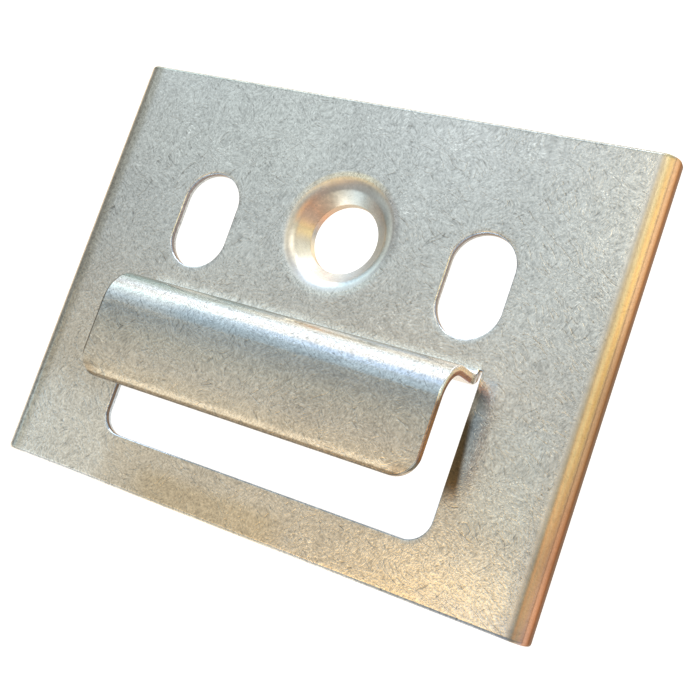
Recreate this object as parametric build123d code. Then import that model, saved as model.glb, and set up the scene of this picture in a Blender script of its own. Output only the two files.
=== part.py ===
"""Hanging bracket stamped from one piece of zinc-plated steel sheet.

A rectangular face plate has its two sides folded back as short flanges, a
screw hole sunk in a dimple, an upright slot on each side of it, and a wide
tongue that is lanced from a window and folded over into a hook.

Frame: the free edges of the flanges lie on z = 0, the plane of the wall, with
the face plate above them.  +Z leaves the wall and +Y is up on the wall.  The
origin is under the middle of the face plate.  Sizes are in millimetres.
"""

from build123d import *
from math import pi, radians, tan
import os

# Sheet, and the depth from the inside of a bend at which its length is kept
SHEET = 0.8
NEUTRAL_DEPTH = 0.19

# Face plate and side flanges
PLATE_WIDTH = 48.3
PLATE_HEIGHT = 36.2
FLANGE_DEPTH = 2.1
FLANGE_BEND_INSIDE = 0.45

# Screw hole, sunk for a countersunk head
HOLE_DIAMETER = 5.9
HOLE_ABOVE_CENTRE = 6.8
SINK_DIAMETER = 8.6
SINK_ANGLE = 90.0
RIM_INSIDE_RADIUS = 0.8
WALL_CLEARANCE = 0.05

# Adjusting slots
SLOT_SPACING = 25.0
SLOT_WIDTH = 5.3
SLOT_LENGTH = 8.35
SLOT_ABOVE_CENTRE = 5.35

# Hook, and the cut round it
HOOK_WIDTH = 29.8
HOOK_GAP = 5.15
HOOK_DROP = 9.0
HOOK_BEND_INSIDE = 2.1
HOOK_ROOT_RADIUS = 0.45
HOOK_BELOW_CENTRE = 1.15
CORNER_RADIUS = 1.9
SIDE_CUT = 0.25

# Edges worn round by tumbling, more at the sheared top and bottom
END_ROUNDING = 0.25
EDGE_ROUNDING = 0.12

# Most of the sheet's thickness that one rounding may take
ROUNDING_SHARE = 0.45

# Two faces that meet at less than this many degrees need no rounding
SMOOTH_ANGLE = 20

# Height of the hook's outer face above the wall
hook_face_z = FLANGE_DEPTH + HOOK_GAP + SHEET

# Heights up the plate
hook_top_y = -HOOK_BELOW_CENTRE
hook_tip_y = hook_top_y - HOOK_DROP
root_y = hook_top_y + HOOK_ROOT_RADIUS

# Radius at which the plate gives way to the dimple
dimple_radius = SINK_DIAMETER / 2 + RIM_INSIDE_RADIUS + SHEET


def sheet_section(side, *line):
    """Section of a sheet whose outer face follows a line, its folds still sharp."""
    outline = Polyline(*line).wires()[0]
    return make_face(
        outline.offset_2d(SHEET, kind=Kind.INTERSECTION, side=side, closed=True)
    )


def fold(section, inner, outer, inside_radius):
    """A sheet's section with the fold between two corners rounded."""
    for corner, radius in (inner, inside_radius), (outer, inside_radius + SHEET):
        section = fillet(section.vertices().sort_by_distance(corner)[0], radius)
    return section


def flat_length(inside_radius):
    """Length of flat sheet in a square bend."""
    return pi / 2 * (inside_radius + NEUTRAL_DEPTH)


def hook_blank_length():
    """Length of the flat tongue, from where it leaves the plate to its tip."""
    bend_outside = HOOK_BEND_INSIDE + SHEET
    rise = HOOK_GAP + SHEET - HOOK_ROOT_RADIUS - bend_outside
    fall = HOOK_DROP - bend_outside
    return flat_length(HOOK_ROOT_RADIUS) + rise + flat_length(HOOK_BEND_INSIDE) + fall


def folded_plate():
    """The face plate with a flange bent back along each side."""
    half_width = PLATE_WIDTH / 2
    section = sheet_section(
        Side.RIGHT,
        (-half_width, 0),
        (-half_width, FLANGE_DEPTH),
        (half_width, FLANGE_DEPTH),
        (half_width, 0),
    )
    for side in (-1, 1):
        inner = (side * (half_width - SHEET), FLANGE_DEPTH - SHEET)
        outer = (side * half_width, FLANGE_DEPTH)
        section = fold(section, inner, outer, FLANGE_BEND_INSIDE)
    return extrude(Plane.XZ * section, PLATE_HEIGHT / 2, both=True)


def hook():
    """The tongue: out of the plate, over in a round bend and down to its tip."""
    section = sheet_section(
        Side.LEFT,
        (root_y + SHEET, FLANGE_DEPTH),
        (hook_top_y, FLANGE_DEPTH),
        (hook_top_y, hook_face_z),
        (hook_tip_y, hook_face_z),
    )
    root, bend = (hook_top_y, FLANGE_DEPTH), (hook_top_y, hook_face_z)
    under_root, under_bend = ((y - SHEET, z - SHEET) for y, z in (root, bend))
    section = fold(section, root, under_root, HOOK_ROOT_RADIUS)
    section = fold(section, under_bend, bend, HOOK_BEND_INSIDE)
    strip = extrude(Plane.YZ * section, HOOK_WIDTH / 2, both=True)
    tip_corners = strip.edges().filter_by(Axis.Z).group_by(Axis.Y)[0]
    return fillet(tip_corners, CORNER_RADIUS)


def window():
    """Cutter for the hole that the tongue leaves, as tall as its blank."""
    height = hook_blank_length()
    opening = Pos(0, root_y - height / 2) * Rectangle(HOOK_WIDTH + 2 * SIDE_CUT, height)
    cutter = extrude(opening, FLANGE_DEPTH)
    bottom_corners = cutter.edges().filter_by(Axis.Z).group_by(Axis.Y)[0]
    return fillet(bottom_corners, CORNER_RADIUS)


def slot():
    """Cutter for one adjusting slot."""
    return extrude(SlotOverall(SLOT_LENGTH, SLOT_WIDTH, rotation=90), FLANGE_DEPTH)


def dimple():
    """The cone for a countersunk head, flattened where it would meet the wall."""
    sink_radius = SINK_DIAMETER / 2
    lip_radius = HOLE_DIAMETER / 4
    fall = (sink_radius - lip_radius) / tan(radians(SINK_ANGLE / 2))
    section = sheet_section(
        Side.LEFT,
        (dimple_radius, FLANGE_DEPTH),
        (sink_radius, FLANGE_DEPTH),
        (lip_radius, FLANGE_DEPTH - fall),
    )
    rim, under_rim = (sink_radius, FLANGE_DEPTH), (sink_radius, FLANGE_DEPTH - SHEET)
    section = fold(section, under_rim, rim, RIM_INSIDE_RADIUS)
    cone = revolve(Plane.XZ * section, Axis.Z)
    under = Box(2 * dimple_radius, 2 * dimple_radius, fall + SHEET)
    under = Pos(0, 0, WALL_CLEARANCE - (fall + SHEET) / 2) * under
    bore = Cylinder(HOLE_DIAMETER / 2, 2 * FLANGE_DEPTH)
    return cone - under - bore


def outer_edges(solid):
    """The edges of a solid at which its surface turns an outer corner."""
    faces_at = {}
    for face in solid.faces():
        for edge in face.edges():
            faces_at.setdefault(edge, []).append(face)
    outer = ShapeList()
    for edge, faces in faces_at.items():
        middle = edge.position_at(0.5)
        normals = [face.normal_at(middle) for face in faces]
        turn = normals[0].get_angle(normals[-1])
        if turn > SMOOTH_ANGLE and not edge.is_interior:
            outer.append(edge)
    return outer


def round_edges(solid):
    """The solid with its sheared ends rounded, and the long edges of its front."""
    most = ROUNDING_SHARE * SHEET
    ends = outer_edges(solid).group_by(Axis.Y)
    solid = fillet(ends[0] + ends[-1], min(END_ROUNDING, most))
    middle_z = FLANGE_DEPTH - SHEET / 2
    front = outer_edges(solid).filter_by(lambda edge: edge.center().Z > middle_z)
    sides = front.filter_by(lambda edge: edge.length > 2 * SIDE_CUT)
    return fillet(sides, min(EDGE_ROUNDING, most))


def hanging_plate():
    """The whole bracket as one solid."""
    plate = folded_plate() - window()
    for side in (-1, 1):
        plate -= Pos(side * SLOT_SPACING / 2, SLOT_ABOVE_CENTRE) * slot()
    plate = round_edges(plate + hook())
    plate -= Pos(0, HOLE_ABOVE_CENTRE) * Cylinder(dimple_radius, 2 * FLANGE_DEPTH)
    return plate + Pos(0, HOLE_ABOVE_CENTRE) * dimple()


os.makedirs("parts", exist_ok=True)
export_step(hanging_plate(), "parts/hanging_plate.step")
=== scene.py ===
"""Hanging bracket of zinc-plated sheet steel, on a pale table in soft light.

The bracket is one stamping: a face plate with two side flanges, a screw hole
in a pressed dish, two upright slots, and a wide tongue that is cut from a
window and folded over into a hook.  It is drawn as a surface that follows the
front of the sheet, and is then given its thickness and its worn edges.

+Z leaves the wall and +Y is up on the wall.  All lengths are in metres.
"""

from math import cos, pi, radians, sin, tan

import bmesh
import bpy
from bpy.props import (
    FloatProperty,
    FloatVectorProperty,
    IntProperty,
    PointerProperty,
)
from bpy.types import Operator, Panel, PropertyGroup
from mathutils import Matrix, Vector


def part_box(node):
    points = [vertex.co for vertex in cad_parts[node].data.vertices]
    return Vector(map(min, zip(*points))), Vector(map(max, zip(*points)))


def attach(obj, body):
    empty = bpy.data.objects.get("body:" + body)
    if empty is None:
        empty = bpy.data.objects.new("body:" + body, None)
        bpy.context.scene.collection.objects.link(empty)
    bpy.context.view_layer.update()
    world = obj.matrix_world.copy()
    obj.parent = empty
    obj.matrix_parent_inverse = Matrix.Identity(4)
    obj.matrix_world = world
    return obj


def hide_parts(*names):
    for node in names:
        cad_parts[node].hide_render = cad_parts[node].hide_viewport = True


bl_info = {
    "name": "Hanging Bracket",
    "version": (1, 0, 0),
    "blender": (4, 5, 0),
    "location": "3D View > Sidebar > Bracket",
    "description": "Models a stamped hanging bracket and the studio round it",
    "category": "Add Mesh",
}

NODE = "hanging_plate"

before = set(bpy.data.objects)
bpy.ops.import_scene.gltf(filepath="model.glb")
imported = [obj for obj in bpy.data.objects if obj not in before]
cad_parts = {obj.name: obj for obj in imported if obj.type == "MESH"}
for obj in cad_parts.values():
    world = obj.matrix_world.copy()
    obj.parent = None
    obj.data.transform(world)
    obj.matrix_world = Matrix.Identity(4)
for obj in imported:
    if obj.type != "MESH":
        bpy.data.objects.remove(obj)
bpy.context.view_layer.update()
node_low, node_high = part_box(NODE)

MM = 0.001
NEAR = 0.002 * MM
CARD_DISTANCE = 0.6


def length(name, description, millimetres):
    """A property for one length, given in millimetres and kept in metres."""
    return FloatProperty(
        name=name,
        description=description,
        default=millimetres * MM,
        min=0,
        precision=5,
        unit="LENGTH",
        subtype="DISTANCE",
    )


class SheetSizes(PropertyGroup):
    """The sheet, its flanges and its edges."""

    thickness: length("Thickness", "Thickness of the sheet", 0.8)
    neutral: length("Neutral", "Depth in a bend at which its length is kept", 0.19)
    flange_depth: length("Flange depth", "Front of the plate above the wall", 2.1)
    flange_bend: length("Flange bend", "Inside radius of the flanges' bends", 0.45)
    end_rounding: length("End rounding", "Wear of the top and bottom edges", 0.25)
    edge_rounding: length("Edge rounding", "Wear of all other edges", 0.12)
    bend_steps: IntProperty(
        name="Bend steps", description="Faces round a square bend", default=12, min=2
    )
    rounding_steps: IntProperty(
        name="Rounding steps", description="Faces round a worn edge", default=4, min=1
    )


class HoleSizes(PropertyGroup):
    """The screw hole in its dish, and the slots."""

    bore: length("Bore", "Diameter of the screw hole", 5.9)
    bore_height: length("Bore height", "Screw hole above the plate's middle", 6.8)
    sink: length("Sink", "Diameter at which the dish would meet the face", 8.6)
    sink_slope: FloatProperty(
        name="Sink slope",
        description="Slope of the dish's wall",
        default=radians(45),
        unit="ROTATION",
        subtype="ANGLE",
    )
    sink_rim: length("Sink rim", "Inside radius of the bend round the dish", 0.8)
    wall_clearance: length("Wall clearance", "Foot of the dish above the wall", 0.05)
    slot_spacing: length("Slot spacing", "Between the middles of the slots", 25.0)
    slot_width: length("Slot width", "Width of a slot", 5.3)
    slot_length: length("Slot length", "Length of a slot overall", 8.35)
    slot_height: length("Slot height", "Slots above the plate's middle", 5.35)
    curve_steps: IntProperty(
        name="Curve steps", description="Edges round the hole", default=96, min=16
    )
    slot_steps: IntProperty(
        name="Slot steps",
        description="Edges round a slot's ends; two more than a multiple of four",
        default=50,
        min=14,
    )


class HookSizes(PropertyGroup):
    """The tongue and the window that it is cut from."""

    width: length("Width", "Width of the tongue", 29.8)
    drop: length("Drop", "Length of the hook from its top to its tip", 9.0)
    bend: length("Bend", "Inside radius of the hook's bend", 2.1)
    root: length("Root", "Radius in which the tongue leaves the plate", 0.45)
    below_centre: length("Below centre", "Hook's top below the plate's middle", 1.15)
    corner: length("Corner", "Radius of the corners of tongue and window", 1.9)
    side_cut: length("Side cut", "Gap on each side of the tongue", 0.25)


def pick(kind, test, sharp=0):
    """In edit mode, select just the elements whose corners all pass a test.

    With a sharp angle, edges count only where the surface turns outwards by more.
    """
    bpy.ops.mesh.select_mode(type=kind)
    bpy.ops.mesh.select_all(action="DESELECT")
    mesh = bmesh.from_edit_mesh(bpy.context.edit_object.data)
    elements = {"VERT": mesh.verts, "EDGE": mesh.edges, "FACE": mesh.faces}[kind]
    for element in elements:
        if sharp and not (element.is_convex and element.calc_face_angle(0) > sharp):
            continue
        corners = [element] if kind == "VERT" else element.verts
        if all(test(corner.co) for corner in corners):
            element.select_set(True)
    bmesh.update_edit_mesh(bpy.context.edit_object.data)


def at(axis, place):
    """A test for points that lie at one place along an axis."""
    return lambda point: abs(point[axis] - place) < NEAR


def on_ring(centre, radius, height):
    """A test for points on a level ring."""
    return lambda point: (
        abs((point.xy - centre).length - radius) < NEAR
        and abs(point.z - height) < NEAR
    )


def extrude(x=0, y=0, z=0):
    """Extrude what is selected by a distance."""
    bpy.ops.mesh.extrude_region_move(TRANSFORM_OT_translate={"value": (x, y, z)})


def fold(steps, centre, axis):
    """Spin the selected edge through a square bend, clockwise about the axis."""
    bpy.ops.mesh.spin(steps=steps, angle=pi / 2, center=centre, axis=axis)


def draw_rectangle(centre, size, height):
    """In edit mode, add a level rectangle and select it."""
    bpy.ops.mesh.primitive_plane_add(size=1, location=(*centre, height))
    bpy.ops.transform.resize(value=(*size, 1))


def draw_ring(centre, radius, height, steps):
    """In edit mode, add a level ring of edges and select it."""
    bpy.ops.mesh.primitive_circle_add(
        vertices=steps, radius=radius, location=(*centre, height)
    )


def change_ring(centre, radius, height, new_radius, new_height):
    """In edit mode, make a selected ring wider or narrower, and raise it."""
    share = new_radius / radius
    bpy.ops.transform.resize(
        value=(share, share, 1), center_override=(*centre, height)
    )
    bpy.ops.transform.translate(value=(0, 0, new_height - height))


def apply_modifier(kind, **settings):
    """Add a modifier to the active object, set it and apply it."""
    bpy.ops.object.modifier_add(type=kind)
    modifier = bpy.context.object.modifiers[-1]
    for name, value in settings.items():
        setattr(modifier, name, value)
    bpy.ops.object.modifier_apply(modifier=modifier.name)


class StampBracket(Operator):
    """Model the bracket, folded from one sheet"""

    bl_idname = "bracket.stamp"
    bl_label = "Stamp Bracket"

    def measure(self, scene):
        """Work out the places that several steps share."""
        self.sheet = scene.bracket_sheet
        self.holes = scene.bracket_holes
        self.hook = scene.bracket_hook
        thickness = self.sheet.thickness
        self.face_z = node_low.z + self.sheet.flange_depth
        self.half_height = (node_high.y - node_low.y) / 2
        self.flange_radius = self.sheet.flange_bend + thickness
        self.half_flat = (node_high.x - node_low.x) / 2 - self.flange_radius
        self.hook_radius = self.hook.bend + thickness
        self.root_y = self.hook.root - self.hook.below_centre
        self.bend_y = -self.hook.below_centre - self.hook_radius
        self.bend_z = node_high.z - self.hook_radius
        self.half_hook = self.hook.width / 2
        self.bore_centre = Vector((0, self.holes.bore_height))
        self.bore_radius = self.holes.bore / 2
        self.lip_z = self.face_z - (self.holes.sink / 2 - self.bore_radius) * tan(
            self.holes.sink_slope
        )

    def window_height(self):
        """Length of flat sheet in the tongue, which is what the window lost."""
        rise = node_high.z - self.face_z - self.hook.root - self.hook_radius
        fall = self.hook.drop - self.hook_radius
        bends = self.hook.root + self.hook.bend + 2 * self.sheet.neutral
        return pi / 2 * bends + rise + fall

    def execute(self, context):
        self.measure(context.scene)
        bpy.ops.object.select_all(action="DESELECT")
        bpy.ops.mesh.primitive_plane_add(size=1)
        bracket = context.object
        bracket.name = "bracket"
        bracket.data.name = "bracket"
        bpy.ops.object.mode_set(mode="EDIT")
        self.outline_window()
        self.outline_slots()
        self.fill_plate()
        self.fold_flanges()
        self.fold_hook()
        self.press_dish()
        bpy.ops.object.mode_set(mode="OBJECT")
        apply_modifier(
            "SOLIDIFY",
            thickness=self.sheet.thickness,
            offset=-1,
            use_even_offset=True,
            use_quality_normals=True,
        )
        bpy.ops.object.mode_set(mode="EDIT")
        self.pierce_dish()
        bpy.ops.mesh.select_all(action="SELECT")
        bpy.ops.mesh.normals_make_consistent(inside=False)
        self.weigh_edges()
        bpy.ops.object.mode_set(mode="OBJECT")
        apply_modifier(
            "BEVEL",
            width=self.sheet.end_rounding,
            segments=self.sheet.rounding_steps,
            limit_method="WEIGHT",
            use_clamp_overlap=False,
        )
        bpy.ops.object.shade_smooth_by_angle(angle=radians(35))
        apply_modifier("WEIGHTED_NORMAL", keep_sharp=True)
        places = (self.holes.bore_height, self.bend_y, self.bend_z)
        in_mm = (place / MM for place in places)
        plating = ZincPlating(context.scene.bracket_zinc, *in_mm)
        bracket.data.materials.append(plating.material)
        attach(bracket, "root")
        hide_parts(NODE)
        return {"FINISHED"}

    def outline_window(self):
        """Draw the window's outline, with a corner where each side cut ends."""
        height = self.window_height()
        foot_y = self.root_y - height
        half_width = self.half_hook + self.hook.side_cut
        bpy.ops.transform.resize(value=(2 * half_width, height, 1))
        middle_y = (self.root_y + foot_y) / 2
        bpy.ops.transform.translate(value=(0, middle_y, self.face_z))
        for x in (-self.half_hook, self.half_hook):
            bpy.ops.mesh.select_all(action="SELECT")
            bpy.ops.mesh.bisect(plane_co=(x, 0, 0), plane_no=(1, 0, 0))
        bpy.ops.mesh.select_all(action="SELECT")
        bpy.ops.mesh.dissolve_faces()
        pick("VERT", lambda p: abs(p.x) < self.half_hook + NEAR and p.y < middle_y)
        bpy.ops.mesh.dissolve_verts()
        pick("VERT", lambda p: p.y < middle_y)
        bpy.ops.mesh.bevel(
            offset=self.hook.corner, segments=self.sheet.bend_steps, affect="VERTICES"
        )
        bpy.ops.mesh.select_all(action="SELECT")
        bpy.ops.mesh.delete(type="ONLY_FACE")

    def outline_slots(self):
        """Draw each slot's outline as a ring that is pulled apart."""
        holes = self.holes
        reach = (holes.slot_length - holes.slot_width) / 2
        for side in (-1, 1):
            centre = Vector((side * holes.slot_spacing / 2, holes.slot_height))
            draw_ring(centre, holes.slot_width / 2, self.face_z, holes.slot_steps)
            for end in (-1, 1):
                pick(
                    "VERT",
                    lambda p: (
                        (p.xy - centre).length < holes.slot_width / 2 + reach
                        and end * (p.y - centre.y) > 0
                    ),
                )
                bpy.ops.transform.translate(value=(0, end * reach, 0))

    def fill_plate(self):
        """Fill the flat of the face plate, round all of its openings."""
        rim_reach = (self.holes.sink_rim + self.sheet.thickness) * tan(
            self.holes.sink_slope / 2
        )
        self.dish_radius = self.holes.sink / 2 + 2 * rim_reach
        steps = self.holes.curve_steps
        draw_ring(self.bore_centre, self.dish_radius, self.face_z, steps)
        draw_rectangle((0, 0), (2 * self.half_flat, 2 * self.half_height), self.face_z)
        bpy.ops.mesh.delete(type="ONLY_FACE")
        bpy.ops.mesh.select_all(action="SELECT")
        bpy.ops.mesh.fill(use_beauty=True)
        bpy.ops.mesh.normals_make_consistent(inside=False)
        bpy.ops.mesh.inset(
            thickness=self.sheet.flange_bend,
            use_boundary=True,
            use_even_offset=True,
        )
        bpy.ops.mesh.select_all(action="SELECT")
        bpy.ops.mesh.tris_convert_to_quads()

    def fold_flanges(self):
        """Fold the sheet back along each side of the plate."""
        bend_z = self.face_z - self.flange_radius
        for side in (-1, 1):
            edge_x = side * self.half_flat
            pick("EDGE", at(0, edge_x))
            fold(self.sheet.bend_steps, (edge_x, 0, bend_z), (0, -side, 0))
            extrude(z=node_low.z - bend_z)

    def fold_hook(self):
        """Raise the tongue, fold it over and let it down to its tip."""
        steps = self.sheet.bend_steps
        root_z = self.face_z + self.hook.root
        tip_y = -self.hook.below_centre - self.hook.drop
        pick(
            "EDGE",
            lambda p: (
                abs(p.y - self.root_y) < NEAR and abs(p.x) < self.half_hook + NEAR
            ),
        )
        fold(steps, (0, self.root_y, root_z), (1, 0, 0))
        extrude(z=self.bend_z - root_z)
        fold(steps, (0, self.bend_y, self.bend_z), (-1, 0, 0))
        extrude(y=tip_y - self.bend_y)
        pick("VERT", lambda p: at(1, tip_y)(p) and at(2, node_high.z)(p))
        bpy.ops.mesh.bevel(offset=self.hook.corner, segments=steps, affect="VERTICES")

    def press_dish(self):
        """Press the dish into the plate, as far as the edge of its hole."""
        centre, face_z = self.bore_centre, self.face_z
        sink_radius = self.holes.sink / 2
        pick("EDGE", on_ring(centre, self.dish_radius, face_z))
        extrude()
        change_ring(centre, self.dish_radius, face_z, sink_radius, face_z)
        extrude()
        change_ring(centre, sink_radius, face_z, self.bore_radius, self.lip_z)
        pick("EDGE", on_ring(centre, sink_radius, face_z))
        bpy.ops.mesh.bevel(
            offset=(self.dish_radius - sink_radius) / 2,
            segments=self.sheet.bend_steps,
        )

    def pierce_dish(self):
        """Give the hole an upright wall, and the dish a foot clear of the wall."""
        centre, slope = self.bore_centre, self.holes.sink_slope
        under_radius = self.bore_radius + self.sheet.thickness * sin(slope)
        under_z = self.lip_z - self.sheet.thickness * cos(slope)
        foot_z = node_low.z + self.holes.wall_clearance
        foot_radius = under_radius - (under_z - foot_z) / tan(slope)
        pick("EDGE", on_ring(centre, under_radius, under_z))
        change_ring(centre, under_radius, under_z, foot_radius, foot_z)
        pick("FACE", lambda p: (p.xy - centre).length < foot_radius + NEAR)
        bpy.ops.mesh.delete(type="FACE")
        pick("EDGE", on_ring(centre, self.bore_radius, self.lip_z))
        extrude(z=foot_z - self.lip_z)
        pick(
            "EDGE",
            lambda p: (
                (p.xy - centre).length < foot_radius + NEAR and p.z < foot_z + NEAR
            ),
        )
        bpy.ops.mesh.bridge_edge_loops()

    def weigh_edges(self):
        """Say how far each outer edge of the sheet is worn round."""
        pick("EDGE", self.is_outside_dish, sharp=radians(60))
        share = self.sheet.edge_rounding / self.sheet.end_rounding
        bpy.ops.transform.edge_bevelweight(value=share)
        pick("EDGE", lambda p: abs(p.y) > self.half_height - NEAR, sharp=radians(60))
        bpy.ops.transform.edge_bevelweight(value=1)

    def is_outside_dish(self, point):
        """Whether a point lies away from the dish."""
        return (point.xy - self.bore_centre).length > self.dish_radius


class Socket:
    """A node's output, on which Python's operators add Math nodes."""

    def __init__(self, nodes, output):
        self.nodes = nodes
        self.output = output

    def math(self, operation, *others):
        """The result of a Math node on this value and others."""
        values = {i: value for i, value in enumerate((self, *others))}
        return self.nodes.add("ShaderNodeMath", {"operation": operation}, values)

    def __add__(self, other):
        return self.math("ADD", other)

    def __sub__(self, other):
        return self.math("SUBTRACT", other)

    def __mul__(self, other):
        return self.math("MULTIPLY", other)

    def __truediv__(self, other):
        return self.math("DIVIDE", other)

    def __rsub__(self, other):
        return (self * -1).math("ADD", other)

    __radd__ = __add__
    __rmul__ = __mul__

    def step(self, start, end):
        """Zero at the start, one at the end, and smooth between."""
        settings = {"interpolation_type": "SMOOTHSTEP"}
        values = {"Value": self, "From Min": start, "From Max": end}
        return self.nodes.add("ShaderNodeMapRange", settings, values, "Result")

    def between(self, start, full, fade, end):
        """Zero up to the start, one from full to fade, and zero from the end."""
        return self.step(start, full) * self.step(end, fade)


class Nodes:
    """A node tree with one way to add any node."""

    def __init__(self, tree):
        self.tree = tree
        tree.nodes.clear()

    def add(self, kind, settings=(), values=(), output=0):
        """Add a node with its settings, then the values or links of its sockets."""
        node = self.tree.nodes.new(kind)
        for name, value in dict(settings).items():
            if name == "stops":
                self.set_stops(node.color_ramp.elements, value)
            else:
                setattr(node, name, value)
        for name, value in dict(values).items():
            if isinstance(value, Socket):
                self.tree.links.new(value.output, node.inputs[name])
            else:
                node.inputs[name].default_value = value
        return Socket(self, node.outputs[output]) if node.outputs else node

    def set_stops(self, elements, stops):
        """Give a ramp its stops, each with a place from 0 to 1 and a colour."""
        for element, (place, _) in zip(elements, (stops[0], stops[-1])):
            element.position = place
        for place, _ in stops[1:-1]:
            elements.new(place)
        for element, (_, colour) in zip(elements, stops):
            element.color = (*colour, 1)

    def shades(self, place, stops):
        """Colours that blend from stop to stop along a line."""
        start, end = stops[0][0], stops[-1][0]
        shares = [((stop - start) / (end - start), colour) for stop, colour in stops]
        value = (place - start) / (end - start)
        return self.add("ShaderNodeValToRGB", {"stops": shares}, {0: value})

    def mix(self, share, first, second, blend="MIX"):
        """A mix of two colours."""
        settings = {"data_type": "RGBA", "blend_type": blend}
        return self.add(
            "ShaderNodeMix", settings, {0: share, 6: first, 7: second}, 2
        )

    def turned(self, vector, angles, scale):
        """Coordinates turned about the middle and then stretched."""
        turned = self.add(
            "ShaderNodeVectorRotate",
            {"rotation_type": "EULER_XYZ"},
            {"Vector": vector, "Rotation": angles},
        )
        return self.add(
            "ShaderNodeVectorMath", {"operation": "MULTIPLY"}, {0: turned, 1: scale}
        )

    def noise(self, vector, scale, detail=2, output="Fac"):
        """Cloudy noise."""
        values = {"Vector": vector, "Scale": scale, "Detail": detail}
        return self.add("ShaderNodeTexNoise", (), values, output)


class ZincFinish(PropertyGroup):
    """The zinc plating."""

    colour: FloatVectorProperty(
        name="Colour",
        description="Colour of the plating",
        default=(0.465, 0.48, 0.47),
        subtype="COLOR",
        min=0,
        max=1,
    )
    roughness: FloatProperty(
        name="Roughness",
        description="Roughness of the plating",
        default=0.2,
        min=0,
        max=1,
        subtype="FACTOR",
    )


class StudioSettings(PropertyGroup):
    """The camera, the table and the light."""

    camera_place: FloatVectorProperty(
        name="Camera place",
        description="Where the camera stands",
        default=(42.65 * MM, -11.83 * MM, 78.93 * MM),
        precision=5,
        unit="LENGTH",
        subtype="TRANSLATION",
    )
    camera_turn: FloatVectorProperty(
        name="Camera turn",
        description="How the camera is turned",
        default=(radians(15.339), radians(22.735), radians(20.785)),
        unit="ROTATION",
        subtype="EULER",
    )
    lens: FloatProperty(
        name="Lens",
        description="Focal length of the lens",
        default=57.833,
        unit="CAMERA",
    )
    table_colour: FloatVectorProperty(
        name="Table colour",
        description="Colour of the table",
        default=(0.35, 0.35, 0.35),
        subtype="COLOR",
        min=0,
        max=1,
    )


# Factors on the plating's colour, each with its place in millimetres. On the right
# flange they paint warm reflections, copper towards its rim
FLANGE_REFLECTION = (
    (21.7, (1.0, 1.0, 1.0)),
    (21.85, (0.85, 0.82, 0.78)),
    (22.15, (0.84, 0.74, 0.54)),
    (22.5, (1.35, 1.2, 0.78)),
    (22.85, (1.3, 1.08, 0.9)),
    (22.95, (1.4, 1.08, 0.8)),
    (23.02, (1.2, 0.78, 0.5)),
    (23.1, (1.6, 1.02, 0.6)),
    (23.24, (1.45, 0.87, 0.5)),
    (23.43, (1.2, 0.65, 0.32)),
    (23.6, (0.6, 0.24, 0.09)),
    (23.73, (0.4, 0.14, 0.04)),
    (24.15, (0.25, 0.08, 0.02)),
)
# Along the hook, by depth in millimetres below its top: a painted highlight over the
# bend, painted shade below it, and a painted highlight and a dark edge at the tip
HOOK_HIGHLIGHT_AND_SHADE = (
    (0.0, (1.0, 1.0, 1.0)),
    (0.7, (1.45, 1.5, 1.52)),
    (1.8, (1.55, 1.6, 1.6)),
    (2.15, (0.95, 0.97, 0.98)),
    (2.9, (0.9, 0.92, 0.92)),
    (3.5, (0.76, 0.86, 0.95)),
    (4.5, (0.64, 0.71, 0.79)),
    (6.0, (0.84, 0.87, 0.88)),
    (8.0, (0.98, 0.98, 0.98)),
    (9.35, (1.15, 1.1, 1.02)),
    (9.6, (1.65, 1.55, 1.42)),
    (9.82, (1.6, 1.5, 1.35)),
    (9.93, (0.7, 0.6, 0.5)),
    (10.2, (0.7, 0.6, 0.5)),
    (10.3, (1.0, 1.0, 1.0)),
)

# Factors on the plating's colour round the screw hole, each with its angle. They paint
# reflections, lighter and darker by direction, in the dish and in two rings round it
DISH_REFLECTION = (
    (-180, (0.95, 1.0, 1.05)),
    (-150, (2.2, 2.1, 1.8)),
    (-120, (1.35, 1.35, 1.35)),
    (-90, (1.85, 1.95, 2.0)),
    (-60, (1.2, 1.4, 1.6)),
    (-30, (0.76, 0.88, 0.98)),
    (0, (0.66, 0.72, 0.71)),
    (30, (0.72, 0.79, 0.81)),
    (60, (1.5, 1.5, 1.5)),
    (90, (1.45, 1.45, 1.4)),
    (120, (1.4, 1.2, 1.0)),
    (150, (1.6, 1.0, 0.72)),
    (180, (0.95, 1.0, 1.05)),
)
RIM_REFLECTION = (
    (-180, (0.85, 0.85, 0.8)),
    (-150, (0.68, 0.68, 0.7)),
    (-110, (1.15, 1.17, 1.17)),
    (-60, (1.05, 1.05, 1.03)),
    (-25, (1.4, 1.42, 1.37)),
    (10, (1.6, 1.6, 1.52)),
    (40, (0.95, 0.95, 0.95)),
    (65, (0.7, 0.7, 0.7)),
    (95, (0.85, 0.82, 0.85)),
    (130, (0.74, 0.77, 0.85)),
    (180, (0.9, 0.9, 0.85)),
)
HALO_REFLECTION = (
    (-180, (1.05, 1.05, 1.05)),
    (-90, (1.2, 1.22, 1.22)),
    (-45, (1.15, 1.2, 1.2)),
    (0, (0.75, 0.74, 0.74)),
    (45, (0.75, 0.72, 0.72)),
    (80, (1.35, 1.24, 1.0)),
    (120, (1.25, 1.13, 0.95)),
    (180, (1.05, 1.05, 1.05)),
)

# Directions of the marks in the plating, in radians
FELT_TURNS = (0.25, 0.85, 1.5, 2.15, 2.75)
SCRATCH_TURNS = (0.45, 0.7, 2.3)
NICK_TURN = 0.1


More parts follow.
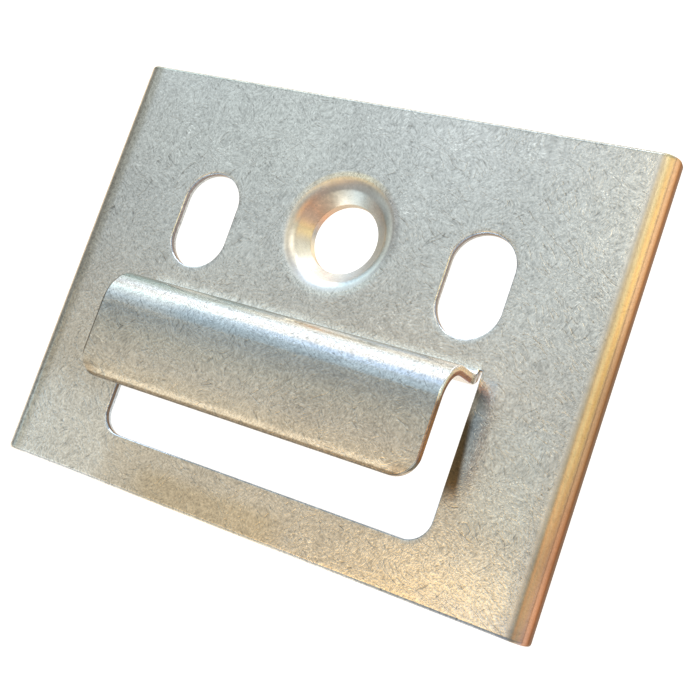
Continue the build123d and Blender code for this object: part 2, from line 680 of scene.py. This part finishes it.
class ZincPlating:
    """The bracket's material, in which every place is given in millimetres. Besides the
    plating's marks, its colour holds painted reflections, highlights and shade.
    """

    def __init__(self, look, bore_y, bend_y, bend_z):
        self.material = bpy.data.materials.new("zinc_plate")
        self.material.use_nodes = True
        self.nodes = Nodes(self.material.node_tree)
        self.find_places(bore_y)
        self.draw_marks()
        self.base = self.nodes.add(
            "ShaderNodeVectorMath",
            {"operation": "SCALE"},
            {0: look.colour, "Scale": self.tone * 0.8 + 1},
        )
        # Painted reflections, highlights and shade, multiplied into the plating's
        # colour
        self.paint_flange_reflection()
        self.paint_dish_reflection()
        self.paint_plate_reflection()
        self.paint_edge_highlight_and_shade()
        self.paint_window_side_reflection()
        self.paint_wall_shade_and_rim_highlight()
        self.paint_hook_highlight_and_shade()
        self.paint_hook_side_highlight_and_shade(bend_y, bend_z)
        self.join_shader(look)

    def find_places(self, bore_y):
        """Measure the surface along the axes, from the bore and along the flange."""
        place = self.nodes.add("ShaderNodeTexCoord", output="Object")
        self.in_mm = self.nodes.add(
            "ShaderNodeVectorMath", {"operation": "SCALE"}, {0: place, "Scale": 1 / MM}
        )
        self.x, self.y, self.z = (
            self.nodes.add("ShaderNodeSeparateXYZ", (), {0: self.in_mm}, axis)
            for axis in range(3)
        )
        self.width = self.x.math("ABSOLUTE")
        above_bore = self.y - bore_y
        self.from_bore = (self.x * self.x + above_bore * above_bore).math("SQRT")
        self.round_bore = above_bore.math("ARCTAN2", self.x) * (180 / pi)
        # Grows over the right bend and on down the flange
        self.flange = self.x - 0.5 * self.z
        # One where the sheet is bent or pressed, which smooths its marks
        on_flange = self.flange.step(21.4, 21.9)
        self.pressed = self.from_bore.step(5.1, 4.6).math("MAXIMUM", on_flange)

    def strands(self, turn, stretch, start, end):
        """Noise drawn out into short lines, kept where it is strong."""
        turned = self.nodes.turned(self.bent, (0, 0, turn), stretch)
        return self.nodes.noise(turned, 1, 0).step(start, end)

    def draw_marks(self):
        """Draw a felt of hairlines, with grain, clouds, scratches and nicks."""
        nodes = self.nodes
        # Places that are pushed about a little, so that the hairlines aren't straight
        self.bent = nodes.add(
            "ShaderNodeVectorMath",
            {"operation": "MULTIPLY_ADD"},
            {
                0: nodes.noise(self.in_mm, 0.3, 1, "Color"),
                1: (2.4, 2.4, 2.4),
                2: self.in_mm,
            },
        )
        felt = 0.2 * sum(
            self.strands(turn, (1.7, 7.7, 7.7), 0.36, 0.64) for turn in FELT_TURNS
        )
        scratches = sum(
            self.strands(turn, (0.12, 8, 8), 0.715, 0.8) for turn in SCRATCH_TURNS
        )
        patches = nodes.noise(self.in_mm, 0.3, 1).step(0.55, 0.7)
        nicks = self.strands(NICK_TURN, (3, 9, 9), 0.66, 0.74) * patches
        clouds = nodes.noise(self.in_mm, 0.2, 2)
        self.grain = nodes.noise(self.in_mm, 6.2, 1)
        marks = (
            (felt - 0.5) * 0.9
            + (self.grain - 0.5) * 0.5
            + (clouds - 0.5) * 0.35
            - scratches * 0.35
            + nicks * 0.6
        )
        height = felt + self.grain - scratches - 1
        self.tone = marks * (0.88 - 0.55 * self.pressed)
        self.relief = height * (0.9 - 0.6 * self.pressed)

    def tint(self, share, colour):
        """Multiply the plating's colour by another, as far as the share says, to paint
        light or shade.
        """
        if not isinstance(colour, Socket):
            colour = (*colour, 1)
        self.base = self.nodes.mix(share, self.base, colour, "MULTIPLY")

    def paint_flange_reflection(self):
        """Paint warm reflections on the right flange, turning it from zinc grey to
        copper towards its rim, darker at mid-height and redder towards the bottom.
        """
        middle = (self.y + 4).math("ABSOLUTE").step(13, 4)
        self.tint(1, self.nodes.shades(self.flange, FLANGE_REFLECTION))
        self.tint(self.flange.step(22.3, 22.8) * middle, (0.62, 0.62, 0.62))
        lower_reflection = self.flange.step(22, 22.3) * self.y.step(-4, -12)
        self.tint(lower_reflection, (1.03, 0.85, 0.84))

    def paint_dish_reflection(self):
        """Paint reflections on the dish, its rim and the plate round it by direction,
        and painted shade on the wall of its bore.
        """
        rings = (
            (self.from_bore.step(4.6, 4.0), DISH_REFLECTION),
            (self.from_bore.between(3.7, 4.05, 4.45, 4.75), RIM_REFLECTION),
            (self.from_bore.between(4.5, 4.8, 5.1, 5.4), HALO_REFLECTION),
        )
        for share, stops in rings:
            self.tint(share, self.nodes.shades(self.round_bore, stops))
        self.tint(self.from_bore.step(2.99, 2.97), (0.9, 0.82, 0.74))

    def paint_plate_reflection(self):
        """Paint lighter and darker patches of reflected light on broad parts of the
        face plate.
        """
        x, y = self.x, self.y
        self.tint(x.step(-12.5, -15) * y.step(-9, -13), (1.15, 1.22, 1.32))
        self.tint(x.step(2, -8) * y.step(6, 12), (1.07, 1.07, 1.06))
        self.tint(y.step(-12.5, -14.5), (1.07, 1.07, 1.07))
        self.tint(x.step(21.6, 22.6) * y.step(-9, -13), (0.78, 0.8, 0.85))
        self.tint(x.step(14, 18) * y.step(-16, -17.5), (0.86, 0.9, 1.0))
        self.tint(
            x.between(16.3, 18, 21, 22.5) * y.between(-13, -10, -5, -2),
            (1.05, 1.1, 1.14),
        )
        self.tint(x.between(-12, -8, 2, 5) * y.step(-15, -16.5), (0.95, 0.89, 0.78))

    def paint_edge_highlight_and_shade(self):
        """Paint a highlight along the outside of the left bend with a darker line of
        painted shade inside it, a painted highlight along the bottom edge that fades
        out to the right, and painted shade along the top edge.
        """
        x, y = self.x, self.y
        self.tint(x.step(-23.3, -23.8), (2.0, 1.85, 1.75))
        self.tint(x.between(-23.9, -23.5, -22.8, -21.9), (0.72, 0.69, 0.63))
        self.tint(y.step(-17.75, -17.95) * x.step(14, 6), (1.7, 1.6, 1.5))
        self.tint(y.step(17.7, 17.9), (0.8, 0.82, 0.78))

    def paint_window_side_reflection(self):
        """Paint reflections on the strip of plate right of the window: a dark brown
        painted reflection that widens downwards, with painted highlights and a faint
        bluish painted shade beside it.
        """
        x, y = self.x, self.y
        strip = x.between(15.1, 15.2, 16.4, 17.0)
        slanted = (x + 0.12 * y).step(15.3, 14.8)
        self.tint(strip * slanted * y.between(-11, -9, -5, -2.5), (0.38, 0.24, 0.12))
        self.tint(
            strip * x.step(15.7, 15.5) * y.between(-5, -4, -2.4, -1.8),
            (1.4, 1.25, 1.1),
        )
        self.tint(
            strip * x.step(15.3, 15.6) * y.between(-3.2, -2.4, -1.4, -1),
            (0.9, 0.97, 1.08),
        )
        self.tint(
            strip * x.step(15.7, 16) * y.between(-9, -7, -4, -2.5),
            (1.3, 1.32, 1.34),
        )

    def paint_wall_shade_and_rim_highlight(self):
        """Paint shade on the walls of the slots and the window, darker on the window's,
        and a painted highlight on their rims.
        """
        inside = (
            self.width.step(22.6, 22.5)
            * self.y.math("ABSOLUTE").step(17.8, 17.7)
            * self.from_bore.step(5.2, 5.3)
        )
        wall = inside * self.z.between(1.6, 1.7, 2.0, 2.05)
        rim = inside * self.z.between(1.97, 2.0, 2.07, 2.09)
        self.tint(wall * self.y.step(-1.5, -1), (0.5, 0.42, 0.4))
        self.tint(rim, (1.15, 1.35, 1.65))
        self.tint(wall * self.y.step(-1, -1.5), (0.3, 0.2, 0.14))

    def paint_hook_highlight_and_shade(self):
        """Paint highlights and shade on the hook from its root to its tip: a highlight
        over the bend, dimmed on its left, a dark band below it, a light strip at the
        tip and darker tip corners.
        """
        x, y, z = self.x, self.y, self.z
        self.tint(self.width.step(15.05, 15.0), self.nodes.shades(y * -1, HOOK_HIGHLIGHT_AND_SHADE))
        self.tint(
            x.step(5, 10) * y.between(-2.6, -2.3, -1.9, -1.8) * z.between(2, 2.6, 5, 6),
            (1.7, 1.75, 1.8),
        )
        self.tint(
            x.step(2, -5) * y.step(-2.3, -1.8) * z.step(4.5, 5.5), (0.64, 0.74, 0.78)
        )
        self.tint(y.step(-1.5, -1.3) * z.between(2.5, 3, 4.6, 5.4), (1.5, 1.55, 1.6))
        self.tint(
            x.step(-6, -10) * y.between(-4.5, -3.8, -2.6, -2.1) * z.step(6, 6.5),
            (1.22, 1.14, 1.08),
        )
        corners = self.width.step(12.6, 13.8) * y.step(-8.9, -9.6) * z.step(5, 6)
        self.tint(corners, (0.7, 0.65, 0.6))

    def paint_hook_side_highlight_and_shade(self, bend_y, bend_z):
        """Paint shade and highlights on the hook's cut sides: a dark inner band and a
        light outer band round the bend, painted shade down the right side to the tip, a
        painted highlight at the root and a dark line of painted shade along the left
        side.
        """
        x, y, z = self.x, self.y, self.z
        over = (y - bend_y).math("MAXIMUM", 0)
        before = (z - bend_z).math("MAXIMUM", 0)
        from_bend = (over * over + before * before).math("SQRT")
        side = self.width.between(14.78, 14.86, 15.2, 15.3)
        right = side * x.step(-1, 1) * z.step(2.6, 3.2)
        bend = right * y.step(-4.6, -3.8)
        self.tint(bend * from_bend.step(2.65, 2.4), (0.55, 0.36, 0.4))
        self.tint(bend * from_bend.step(2.4, 2.6), (2.0, 2.1, 2.15))
        self.tint(right * (1 - y.step(-4.6, -3.8)), (0.62, 0.45, 0.4))
        root = side * y.between(-1.9, -1.5, -0.72, -0.6) * z.step(2.9, 2.4)
        self.tint(root, (1.25, 1.22, 1.2))
        left = self.width.step(14.68, 14.78) * x.step(1, -1) * z.step(2.6, 3.2)
        self.tint(left, (0.3, 0.28, 0.26))

    def join_shader(self, look):
        """Join the colour, the roughness and the relief in a metal's shader."""
        bump = self.nodes.add(
            "ShaderNodeBump",
            (),
            {"Strength": 0.2, "Distance": 0.02 * MM, "Height": self.relief},
        )
        grain = 0.1 * (self.grain - 0.5)
        shader = self.nodes.add(
            "ShaderNodeBsdfPrincipled",
            (),
            {
                "Base Color": self.base,
                "Metallic": 1,
                "Specular Tint": (0.86, 0.74, 0.62, 1),
                "Roughness": look.roughness + grain + 0.14 * self.pressed,
                "Normal": bump,
            },
        )
        self.nodes.add("ShaderNodeOutputMaterial", (), {"Surface": shader})


class SetUpStudio(Operator):
    """Add the table, the light and the camera"""

    bl_idname = "bracket.studio"
    bl_label = "Set Up Studio"

    def execute(self, context):
        self.setup = context.scene.bracket_studio
        self.lay_table()
        self.light_room(context.scene)
        self.place_camera(context.scene)
        return {"FINISHED"}

    def lay_table(self):
        """Add the pale table top on which the bracket lies."""
        bpy.ops.mesh.primitive_plane_add(size=3, location=(0, 0, node_low.z))
        table = bpy.context.object
        table.name = "table"
        material = bpy.data.materials.new("table_top")
        material.use_nodes = True
        nodes = Nodes(material.node_tree)
        colour = (*self.setup.table_colour, 1)
        shader = nodes.add(
            "ShaderNodeBsdfPrincipled",
            (),
            {
                "Base Color": colour,
                "Roughness": 0.7,
                "Emission Color": (1, 1, 1, 1),
                "Emission Strength": 0.92,
            },
        )
        nodes.add("ShaderNodeOutputMaterial", (), {"Surface": shader})
        table.data.materials.append(material)

    def light_room(self, scene):
        """Light the room evenly, with soft cards round it for the reflections."""
        world = bpy.data.worlds.new("room")
        scene.world = world
        world.use_nodes = True
        nodes = Nodes(world.node_tree)
        shade = nodes.add(
            "ShaderNodeBackground", (), {"Color": (0.62, 0.62, 0.6, 1), "Strength": 1}
        )
        nodes.add("ShaderNodeOutputWorld", (), {"Surface": shade})
        for name, card in CARDS.items():
            self.hang_card(name, *card)
        scene.view_settings.view_transform = "Standard"

    def hang_card(self, name, azimuth, elevation, brightness):
        """Hang one soft card so that it faces the bracket."""
        size = CARD_SIZES[elevation]
        azimuth, elevation = radians(azimuth), radians(elevation)
        towards = Vector(
            (
                sin(azimuth) * cos(elevation),
                cos(azimuth) * cos(elevation),
                sin(elevation),
            )
        )
        bpy.ops.object.light_add(type="AREA", location=towards * CARD_DISTANCE)
        lamp = bpy.context.object
        lamp.name = name
        lamp.rotation_euler = towards.to_track_quat("Z", "Y").to_euler()
        lamp.data.shape = "RECTANGLE"
        lamp.data.size, lamp.data.size_y = size
        lamp.data.color = brightness
        lamp.data.energy = pi * size[0] * size[1]
        lamp.visible_camera = False

    def place_camera(self, scene):
        """Stand the camera over the bracket's right side."""
        bpy.ops.object.camera_add(
            location=self.setup.camera_place, rotation=self.setup.camera_turn
        )
        scene.camera = bpy.context.object
        scene.camera.data.lens = self.setup.lens
        scene.camera.data.clip_start = MM


# Width and height of a card, in metres, by its elevation in degrees
CARD_SIZES = {
    6: (0.27, 0.16),
    22: (0.25, 0.17),
    38: (0.22, 0.17),
    54: (0.21, 0.17),
    69: (0.18, 0.15),
    81: (0.19, 0.13),
}

# Azimuth in degrees from +Y towards +X, elevation, and brightness.  A fit of the
# light chose these cards from a grid and solved their brightnesses.
CARDS = {
    "window_low": (-26, 6, (2.2, 2.4, 2.7)),
    "window": (0, 22, (7.8, 7.4, 7.2)),
    "window_side": (-26, 22, (2.1, 1.9, 1.8)),
    "window_end": (-51, 22, (1.1, 1.5, 1.7)),
    "sky_side": (-26, 38, (0.93, 1.2, 1.7)),
    "sky_end": (-51, 38, (0.64, 0.77, 0.88)),
    "pale_wall": (-103, 38, (0.53, 0.65, 0.65)),
    "warm_wall_low": (77, 22, (2.2, 1.4, 0.0)),
    "warm_wall": (77, 38, (1.4, 0.56, 0.0)),
    "warm_wall_high": (65, 54, (0.94, 0.76, 0.36)),
    "lamp": (33, 54, (3.1, 2.8, 2.6)),
    "sky_high": (-33, 54, (0.58, 0.64, 0.7)),
    "sky_left": (-65, 54, (0.38, 0.45, 0.48)),
    "tan_left": (-98, 54, (0.41, 0.25, 0.06)),
    "ceiling_back": (0, 69, (2.6, 2.1, 1.4)),
    "ceiling_right": (90, 69, (2.0, 0.9, 0.0)),
    "ceiling_front": (-135, 69, (2.7, 1.5, 0.33)),
    "ceiling_left": (-90, 69, (0.32, 0.17, 0.01)),
    "ceiling_sky": (-45, 69, (0.47, 0.54, 0.57)),
    "ceiling": (-135, 81, (0.68, 0.71, 0.64)),
}


class BracketPanel(Panel):
    """Lists what can be made, with its settings"""

    bl_idname = "VIEW3D_PT_bracket"
    bl_label = "Hanging Bracket"
    bl_space_type = "VIEW_3D"
    bl_region_type = "UI"
    bl_category = "Bracket"

    def draw(self, context):
        for operator, groups in MAKERS.items():
            self.layout.operator(operator)
            for name in groups:
                settings = getattr(context.scene, name)
                box = self.layout.box()
                for setting in settings.__annotations__:
                    box.prop(settings, setting)


GROUPS = {
    "bracket_sheet": SheetSizes,
    "bracket_holes": HoleSizes,
    "bracket_hook": HookSizes,
    "bracket_zinc": ZincFinish,
    "bracket_studio": StudioSettings,
}

MAKERS = {
    "bracket.stamp": (
        "bracket_sheet",
        "bracket_holes",
        "bracket_hook",
        "bracket_zinc",
    ),
    "bracket.studio": ("bracket_studio",),
}

CLASSES = (*GROUPS.values(), StampBracket, SetUpStudio, BracketPanel)


def register():
    for item in CLASSES:
        bpy.utils.register_class(item)
    for name, group in GROUPS.items():
        setattr(bpy.types.Scene, name, PointerProperty(type=group))


def unregister():
    for name in GROUPS:
        delattr(bpy.types.Scene, name)
    for item in reversed(CLASSES):
        bpy.utils.unregister_class(item)


def main():
    register()
    bpy.ops.bracket.stamp()
    bpy.ops.bracket.studio()


if __name__ == "__main__":
    main()
